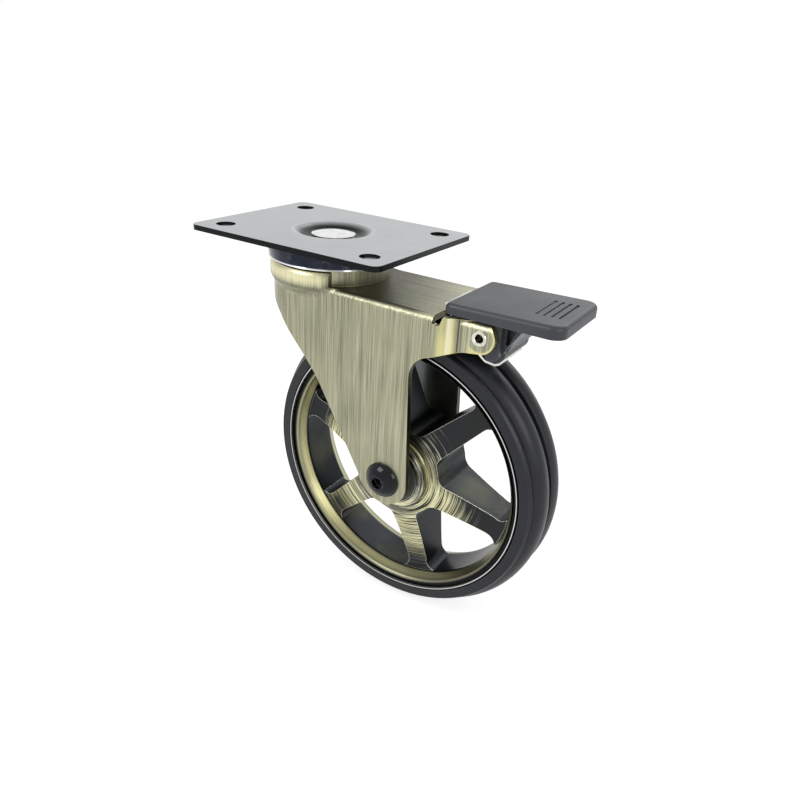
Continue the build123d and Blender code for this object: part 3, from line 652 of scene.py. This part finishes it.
@dataclass(frozen=True)
class WheelFinish:
    """Antique brass turned bright round the hub and dark towards the rim, with painted light on one
    side and painted highlights.
    """

    bright: Colour = (0.68, 0.655, 0.385)
    grey: Colour = (0.15, 0.15, 0.125)
    patina: Colour = (0.028, 0.031, 0.038)
    # Painted glints on the turning lines near the hub.
    painted_glint: Colour = (0.80, 0.79, 0.58)
    line: Colour = (0.032, 0.032, 0.028)
    wall: Colour = (0.024, 0.026, 0.029)
    olive: Colour = (0.050, 0.052, 0.040)
    # Painted highlight and painted shade of the rolled lip.
    bead_painted_light: Colour = (0.94, 0.89, 0.50)
    bead_painted_shade: Colour = (0.13, 0.13, 0.10)
    black: Colour = (0.012, 0.012, 0.013)
    # Painted highlight: a thin bright line on the flange's edge.
    flange: Colour = (0.66, 0.67, 0.66)
    # Edges: rubbed bright, with a painted highlight.
    edge: Colour = (0.78, 0.78, 0.66)

    # Painted light: the side of the wheel whose spokes stay bright further out, and how far.
    lit_side: tuple[float, float, float] = (-0.55, -0.835, 0.0)
    lit_shift: float = -14.0 * MM
    wander: Band = soft(-5.0 * MM, 5.0 * MM)
    spoke_length: Band = mm(0.0, 66.0)
    spoke_stops: tuple[float, float, float, float] = (0.06, 0.20, 0.50, 0.72)
    hub_edge: Band = mm(17.6, 19.2)
    # Painted light on the hub: grey on the shaded side, bright on the lit side.
    hub_light_lean: Band = Band(-0.6, 0.8)
    cut_lines: Band = Band(0.44, 0.53)
    glint_lines: Band = Band(0.56, 0.62)
    glint_fade: Band = mm(36.0, 52.0, 0.9, 0.0)

    line_pattern: Pattern = Pattern(1.0, 2.0, 0.8)
    line_count: float = 2300.0
    line_turn: float = 0.7
    patch: Pattern = Pattern(34.0, 2.0)
    olive_patch: Band = Band(0.45, 0.7)
    square_face: Band = Band(0.30, 0.62)
    hub_fillet: Band = mm(19.2, 20.0, 1.0, 0.0)

    lip_start: Band = mm(58.6, 58.9)
    lip_depth: Band = mm(9.2, 9.5)
    # Painted highlight on the lip's crest, brightest at the left and on the near side.
    lip_crest: float = 11.0 * MM
    crest_line: Band = mm(0.6, 3.2, 1.0, 0.25)
    left_light: Band = Band(-0.5, 0.8, 0.25, 1.0)
    near_side: Band = mm(-1.0, 1.0, 1.0, 0.4)
    bead_lines: Band = Band(0.36, 0.50, 0.45, 0.0)
    lip_end: Band = mm(61.6, 62.4)
    flange_start: Band = mm(64.35, 64.45)
    flange_end: Band = mm(64.95, 65.05, 1.0, 0.0)

    bright_edge_width: float = 0.42 * MM
    bright_edge_end: Band = mm(60.1, 61.6, 1.0, 0.0)
    rough: Band = soft(0.42, 0.28)
    relief: Relief = Relief(0.03 * MM, 0.5)

    def turned(self, g: Graph, reach: Socket, toward_light: Socket, lines: Socket, patch: Socket) -> Socket:
        """Colour the turned faces of the hub and the spokes, with painted light that reaches
        further out on one side.

        Args:
            g: the wheel's graph.
            reach: the distance from the axle.
            toward_light: 1 towards the wheel's lit side, -1 towards its shaded side.
            lines: the pattern of turning lines.
            patch: a slow soft pattern.

        Returns:
            The colour's output.
        """
        # Painted light: the bright turned part reaches further out on the lit side.
        out = g.plus(g.plus(reach, g.span(patch, self.wander)), g.times(toward_light, self.lit_shift))
        tones = (self.grey, self.bright, self.bright, self.patina)
        body = g.ramp(g.span(out, self.spoke_length), tuple(zip(self.spoke_stops, tones)))
        # Painted light and painted shade on the hub.
        hub = g.mix(g.span(toward_light, self.hub_light_lean), self.grey, self.bright)
        body = g.mix(g.span(reach, self.hub_edge), hub, body)
        cut = g.mix(g.span(lines, self.cut_lines), self.line, body)
        # Painted glints on the turning lines.
        painted_glints = g.times(g.span(lines, self.glint_lines), g.span(out, self.glint_fade))
        return g.mix(painted_glints, cut, self.painted_glint)

    def lip(self, g: Graph, y: Socket, depth: Socket, left: Socket, lines: Socket) -> Socket:
        """Colour the rolled lip with a painted highlight on its crest, brightest towards the left.

        Args:
            g: the wheel's graph.
            y: the place along the axle.
            depth: the distance from the wheel's middle plane.
            left: 1 at the wheel's left, -1 at its right.
            lines: the pattern of turning lines.

        Returns:
            The colour's output.
        """
        crest = g.near(depth, self.lip_crest, self.crest_line)
        # Painted highlight on the crest, brightest towards the left and the near side.
        shine = g.times(crest, g.span(left, self.left_light))
        shine = g.times(shine, g.span(y, self.near_side))
        bead_painted_light = g.mix(shine, self.bead_painted_shade, self.bead_painted_light)
        return g.mix(g.span(lines, self.bead_lines), bead_painted_light, self.line)

    def build(self) -> bpy.types.Material:
        """Make the wheel casting's material.

        Returns:
            The material.
        """
        g = Graph("turned_brass_wheel")
        x, y, z = g.split(g.place)
        _, aside, _ = g.split(g.facing)
        across = g.minus(x, AXLE_X)
        above = g.minus(z, AXLE_Z)
        reach = g.reach(across, above)
        depth = g.size(y)
        turn = g.maths("ARCTAN2", above, across)
        along = g.vector("DOT_PRODUCT", g.join(across, above, 0.0), self.lit_side)
        # How far each point lies towards the lit side, for the painted light.
        toward_light = g.maths("DIVIDE", along, reach)
        left = g.maths("DIVIDE", across, g.times(reach, -1.0))
        ring = g.times(g.plus(reach, depth), self.line_count)
        lines = g.noise(g.join(ring, g.times(turn, self.line_turn), 0.0), self.line_pattern)
        patch = g.noise(g.place, self.patch)
        square = g.span(g.size(aside), self.square_face)
        faced = g.maths("MAXIMUM", square, g.span(reach, self.hub_fillet))
        walls = g.mix(g.span(patch, self.olive_patch), self.wall, self.olive)
        face = g.mix(faced, walls, self.turned(g, reach, toward_light, lines, patch))
        on_lip = g.times(g.span(reach, self.lip_start), g.span(depth, self.lip_depth))
        face = g.mix(on_lip, face, self.lip(g, y, depth, left, lines))
        face = g.mix(g.span(reach, self.lip_end), face, self.black)
        # Painted highlight: a thin bright line on the flange's edge.
        flange = g.times(g.span(reach, self.flange_start), g.span(reach, self.flange_end))
        face = g.mix(flange, face, self.flange)
        # Rubbed edges with a painted edge highlight, up to the lip.
        worn_and_lit_edges = g.times(g.edges(self.bright_edge_width), g.span(reach, self.bright_edge_end))
        g.surface(g.mix(worn_and_lit_edges, face, self.edge), Stuff.METAL, g.span(lines, self.rough))
        g.bump(lines, self.relief)
        return g.material


@dataclass(frozen=True)
class MouldedFinish:
    """A moulded rubber or plastic with a fine even grain, and scuffed edges with a painted
    highlight.
    """

    name: str
    face: Colour
    rough: float
    shine: float = 0.5
    # Lighter edges: scuffs with a painted edge highlight.
    scuff_and_edge_highlight: Colour = (0.10, 0.105, 0.115)
    grain: Pattern = Pattern(1500.0, 2.0)
    relief: Relief = Relief(0.03 * MM, 0.5)
    cloud: Pattern = Pattern(45.0, 3.0)
    cloud_tone: Band = soft(0.84, 1.18)
    rough_shares: Band = soft(0.85, 1.15)
    bright_edge_width: float = 0.5 * MM
    bright_edge_share: Band = Band(0.35, 0.65, 0.25, 0.8)

    def build(self) -> bpy.types.Material:
        """Make the moulded material.

        Returns:
            The material.
        """
        g = Graph(self.name)
        grain = g.noise(g.place, self.grain)
        cloud = g.noise(g.place, self.cloud)
        shade = g.scaled(self.face, g.span(cloud, self.cloud_tone))
        # Scuffed edges with a painted edge highlight.
        worn_and_lit_edges = g.times(g.edges(self.bright_edge_width), g.span(cloud, self.bright_edge_share))
        rough = g.span(cloud, self.rough_shares.times(self.rough))
        g.surface(g.mix(worn_and_lit_edges, shade, self.scuff_and_edge_highlight), Stuff.PLASTIC, rough)
        g.shader.inputs["Specular IOR Level"].default_value = self.shine
        g.bump(grain, self.relief)
        return g.material


@dataclass(frozen=True)
class CapFinish:
    """Light grey plastic that is dark in a ring at its edge."""

    light_grey: Colour = (0.50, 0.54, 0.54)
    edge_ring_dark: Colour = (0.055, 0.057, 0.052)
    ring: Band = mm(9.5, 9.9)
    smear: Pattern = Pattern(260.0, 3.0)
    wander: Band = soft(-0.2 * MM, 0.2 * MM)
    rough: Band = soft(0.42, 0.58)
    relief: Relief = Relief(0.02 * MM, 0.4)

    def build(self) -> bpy.types.Material:
        """Make the bearing caps' material.

        Returns:
            The material.
        """
        g = Graph("cap_plastic")
        x, _, z = g.split(g.place)
        reach = g.reach(g.minus(x, AXLE_X), g.minus(z, AXLE_Z))
        smear = g.noise(g.place, self.smear)
        edge = g.plus(reach, g.span(smear, self.wander))
        # Darker in a ring at the cap's edge.
        colour = g.mix(g.span(edge, self.ring), self.light_grey, self.edge_ring_dark)
        g.surface(colour, Stuff.PLASTIC, g.span(smear, self.rough))
        g.bump(smear, self.relief)
        return g.material


@dataclass(frozen=True)
class SteelFinish:
    """Plain bright steel with fine scratches one way."""

    name: str
    face: Colour
    rough: float = 0.26
    brush: Brush = Brush.SCRATCH
    rough_shares: Band = soft(0.8, 1.3)
    cloud: Pattern = Pattern(120.0, 3.0)
    cloud_tone: Band = soft(0.82, 1.06)
    relief: Relief = Relief(0.01 * MM, 0.5)

    def build(self) -> bpy.types.Material:
        """Make the steel material.

        Returns:
            The material.
        """
        g = Graph(self.name)
        scratch = g.lines(self.brush)
        cloud = g.noise(g.place, self.cloud)
        shade = g.scaled(self.face, g.span(cloud, self.cloud_tone))
        g.surface(shade, Stuff.METAL, g.span(scratch, self.rough_shares.times(self.rough)))
        g.bump(scratch, self.relief)
        return g.material


@dataclass(frozen=True)
class BlackFinish:
    """Gloss black plating with a little dust in it and painted highlights on its edges."""

    face: Colour = (0.002, 0.002, 0.004)
    dusty: Colour = (0.03, 0.03, 0.034)
    # Painted highlight on the sharp edges.
    edge: Colour = (0.24, 0.24, 0.26)
    shine: float = 0.25
    dust: Pattern = Pattern(900.0, 4.0)
    dust_amount: Band = Band(0.62, 0.8, 0.0, 0.35)
    cloud: Pattern = Pattern(160.0, 2.0)
    rough: Band = soft(0.07, 0.14)
    bright_edge_width: float = 0.25 * MM
    relief: Relief = Relief(0.01 * MM, 0.3)

    def build(self) -> bpy.types.Material:
        """Make the gloss black material.

        Returns:
            The material.
        """
        g = Graph("gloss_black")
        dust = g.noise(g.place, self.dust)
        cloud = g.noise(g.place, self.cloud)
        colour = g.mix(g.span(dust, self.dust_amount), self.face, self.dusty)
        # Painted highlight on the edges.
        colour = g.mix(g.edges(self.bright_edge_width), colour, self.edge)
        g.surface(colour, Stuff.PLASTIC, g.span(cloud, self.rough))
        g.shader.inputs["Specular IOR Level"].default_value = self.shine
        g.bump(dust, self.relief)
        return g.material


def dress(material: bpy.types.Material, *nodes: str) -> None:
    """Give CAD nodes their finish.

    Args:
        material: the finish.
        nodes: the nodes' names.
    """
    for node in nodes:
        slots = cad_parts[node].data.materials
        slots.clear()
        slots.append(material)
        LOG.info("%s dressed in %s", node, material.name)


@dataclass(frozen=True)
class SwivelHead:
    """The fixing plate, the kingpin and the ball races."""

    plate: PlateFinish = PlateFinish()
    pin: PolishedFinish = PolishedFinish()
    cover: CoverFinish = CoverFinish()
    balls: PolishedFinish = PolishedFinish("ball_steel", face=(0.72, 0.73, 0.74), rough=0.08)
    race: SteelFinish = SteelFinish("race_steel", face=(0.50, 0.50, 0.50), rough=0.34)

    def build(self) -> None:
        """Dress the head's pieces."""
        dress(self.plate.build(), "top_plate")
        dress(self.pin.build(), "kingpin")
        dress(self.cover.build(), "race_cover")
        dress(self.balls.build(), "upper_balls", "lower_balls")
        dress(self.race.build(), "lower_race")


@dataclass(frozen=True)
class ForkSet:
    """The pressed fork with its axle bolt and the rivet of the pedal."""

    fork: ForkFinish = ForkFinish()
    bolt: BlackFinish = BlackFinish()
    sleeve: SteelFinish = SteelFinish("sleeve_steel", face=(0.52, 0.52, 0.52))
    rivet: SteelFinish = SteelFinish("rivet_steel", face=(0.70, 0.69, 0.62), rough=0.22)

    def build(self) -> None:
        """Dress the fork's pieces."""
        dress(self.fork.build(), "fork")
        dress(self.bolt.build(), "axle_bolt", "axle_nut", "nut_washer")
        dress(self.sleeve.build(), "axle_sleeve")
        dress(self.rivet.build(), "pedal_rivet")


@dataclass(frozen=True)
class WheelSet:
    """The spoked wheel, its tyre and the bearing in its hub."""

    casting: WheelFinish = WheelFinish()
    tyre: MouldedFinish = MouldedFinish(
        "tyre_rubber", face=(0.011, 0.012, 0.016), rough=0.38, shine=0.3, scuff_and_edge_highlight=(0.06, 0.062, 0.07)
    )
    cap: CapFinish = CapFinish()
    bearing: SteelFinish = SteelFinish("bearing_steel", face=(0.58, 0.59, 0.60), rough=0.2)
    cage: MouldedFinish = MouldedFinish(
        "cage_plastic", face=(0.42, 0.36, 0.22), rough=0.5, scuff_and_edge_highlight=(0.5, 0.45, 0.3)
    )

    def build(self) -> None:
        """Dress the wheel's pieces."""
        dress(self.casting.build(), "wheel_casting")
        dress(self.tyre.build(), "tyre")
        dress(self.cap.build(), "bearing_cap_near", "bearing_cap_far")
        dress(self.bearing.build(), "bearing_shell", "bearing_rollers")
        dress(self.cage.build(), "roller_cage")


@dataclass(frozen=True)
class Brake:
    """The foot pedal and the leaf that it presses on the tyre."""

    pedal: MouldedFinish = MouldedFinish(
        "pedal_plastic", face=(0.034, 0.038, 0.044), rough=0.42, shine=0.4
    )
    leaf: SteelFinish = SteelFinish("leaf_steel", face=(0.74, 0.74, 0.70), rough=0.2)

    def build(self) -> None:
        """Dress the brake's pieces."""
        dress(self.pedal.build(), "brake_pedal")
        dress(self.leaf.build(), "brake_leaf")


@dataclass(frozen=True)
class PhotoCamera:
    """The camera at the photograph's place, in millimetres and degrees."""

    place: tuple[float, float, float] = (201.9, -259.6, 74.0)
    heading: float = 121.59
    dip: float = 26.22
    roll: float = -3.55
    lens: float = 31.31
    sensor: float = 36.0
    clip: tuple[float, float] = (0.01, 50.0)

    def build(self) -> None:
        """Set the scene's camera in place."""
        yaw, pitch, roll = (math.radians(v) for v in (self.heading, self.dip, self.roll))
        level = Vector((math.sin(yaw), -math.cos(yaw), 0.0))
        flat = math.cos(pitch)
        ahead = Vector((flat * math.cos(yaw), flat * math.sin(yaw), -math.sin(pitch)))
        below = ahead.cross(level)
        right = level * math.cos(roll) + below * math.sin(roll)
        down = below * math.cos(roll) - level * math.sin(roll)
        data = bpy.data.cameras.new("photo_camera")
        data.sensor_width = self.sensor
        data.lens = self.lens
        data.clip_start, data.clip_end = self.clip
        camera = bpy.data.objects.new("photo_camera", data)
        bpy.context.scene.collection.objects.link(camera)
        turn = Matrix((right, -down, -ahead)).transposed().to_4x4()
        camera.matrix_world = Matrix.Translation(Vector(self.place) * MM) @ turn
        bpy.context.scene.camera = camera


@dataclass(frozen=True)
class Lamp:
    """One soft square lamp that points at the castor, in metres and watts."""

    name: str
    place: tuple[float, float, float]
    power: float
    width: float

    def build(self, target: Vector) -> None:
        """Make the lamp.

        Args:
            target: the point it faces.
        """
        data = bpy.data.lights.new(self.name, "AREA")
        data.energy = self.power
        data.size = self.width
        lamp = bpy.data.objects.new(self.name, data)
        bpy.context.scene.collection.objects.link(lamp)
        lamp.location = self.place
        lamp.rotation_mode = "QUATERNION"
        lamp.rotation_quaternion = (target - Vector(self.place)).to_track_quat("-Z", "Y")


def add_node(
    tree: bpy.types.NodeTree, kind: str, inputs: dict[str | int, object], operation: str = ""
) -> bpy.types.Node:
    """Add a node to the studio's floor or surround.

    Args:
        tree: the node tree.
        kind: the node's type.
        inputs: what goes into each named or numbered input, an output or a plain value.
        operation: the name of the sum, for a maths node.

    Returns:
        The node.
    """
    node = tree.nodes.new(kind)
    if operation:
        node.operation = operation
    for key, value in inputs.items():
        if isinstance(value, Socket):
            tree.links.new(value, node.inputs[key])
        else:
            node.inputs[key].default_value = value
    return node


@dataclass(frozen=True)
class Studio:
    """A pale floor, a white surround and soft lamps."""

    floor_level: float = -181.2 * MM
    floor_half: float = 12.0
    floor_tone: float = 0.9
    floor_glow_share: float = 0.6
    surround: float = 0.62
    white: tuple[float, float, float, float] = (1.0, 1.0, 1.0, 1.0)
    target: tuple[float, float, float] = (0.04, 0.0, -0.09)
    lamps: tuple[Lamp, ...] = (
        Lamp("key_lamp", place=(-0.35, -0.65, 0.55), power=4.0, width=0.45),
        Lamp("side_lamp", place=(0.75, -0.25, 0.25), power=1.6, width=0.35),
        Lamp("back_lamp", place=(0.10, 0.70, 0.45), power=1.6, width=0.5),
    )

    def floor_material(self) -> bpy.types.Material:
        """Make a pale material whose glow, where it is seen, brings it up to white.

        Returns:
            The material.
        """
        material = bpy.data.materials.new("pale_floor")
        material.use_nodes = True
        tree = material.node_tree
        tree.nodes.clear()
        unlit = 1.0 - (1.0 - self.floor_glow_share) * self.floor_tone * self.surround
        strength = unlit / self.floor_glow_share
        path = add_node(tree, "ShaderNodeLightPath", {}).outputs
        rays = {0: path["Is Camera Ray"], 1: path["Is Glossy Ray"]}
        seen = add_node(tree, "ShaderNodeMath", rays, "MAXIMUM").outputs[0]
        parts = {0: seen, 1: self.floor_glow_share}
        share = add_node(tree, "ShaderNodeMath", parts, "MULTIPLY").outputs[0]
        pale = {"Color": (self.floor_tone, self.floor_tone, self.floor_tone, 1.0)}
        plain = add_node(tree, "ShaderNodeBsdfDiffuse", pale).outputs[0]
        bright = {"Color": self.white, "Strength": strength}
        glow = add_node(tree, "ShaderNodeEmission", bright).outputs[0]
        blend = add_node(tree, "ShaderNodeMixShader", {0: share, 1: plain, 2: glow}).outputs[0]
        add_node(tree, "ShaderNodeOutputMaterial", {"Surface": blend})
        return material

    def floor(self) -> None:
        """Lay the floor, which keeps the castor's shadow."""
        mesh = bpy.data.meshes.new("studio_floor")
        h = self.floor_half
        mesh.from_pydata([(-h, -h, 0), (h, -h, 0), (h, h, 0), (-h, h, 0)], [], [(0, 1, 2, 3)])
        mesh.materials.append(self.floor_material())
        floor = bpy.data.objects.new("studio_floor", mesh)
        floor.location = (0.0, 0.0, self.floor_level)
        bpy.context.scene.collection.objects.link(floor)

    def sky(self) -> None:
        """Make the surround: white where it is seen, and softer as a light."""
        world = bpy.data.worlds.new("white_surround")
        bpy.context.scene.world = world
        world.use_nodes = True
        tree = world.node_tree
        tree.nodes.clear()
        path = add_node(tree, "ShaderNodeLightPath", {}).outputs
        rays = {0: path["Is Camera Ray"], 1: path["Is Glossy Ray"]}
        seen = add_node(tree, "ShaderNodeMath", rays, "MAXIMUM").outputs[0]
        rays = {0: seen, 1: path["Is Transmission Ray"]}
        seen = add_node(tree, "ShaderNodeMath", rays, "MAXIMUM").outputs[0]
        levels = {"Value": seen, "To Min": self.surround, "To Max": 1.0}
        level = add_node(tree, "ShaderNodeMapRange", levels).outputs["Result"]
        ground = {"Color": self.white, "Strength": level}
        light = add_node(tree, "ShaderNodeBackground", ground).outputs[0]
        add_node(tree, "ShaderNodeOutputWorld", {"Surface": light})

    def build(self) -> None:
        """Make the floor, the surround and the lamps."""
        self.floor()
        self.sky()
        for lamp in self.lamps:
            lamp.build(Vector(self.target))
        bpy.context.scene.view_settings.view_transform = "Standard"


def main() -> None:
    """Build the camera, the studio and each sub-assembly in order."""
    logging.basicConfig(level=logging.INFO, format="%(message)s")
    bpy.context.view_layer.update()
    PhotoCamera().build()
    Studio().build()
    for assembly in (SwivelHead(), ForkSet(), WheelSet(), Brake()):
        assembly.build()
        LOG.info("%s is done", type(assembly).__name__)


if __name__ == "__main__":
    main()
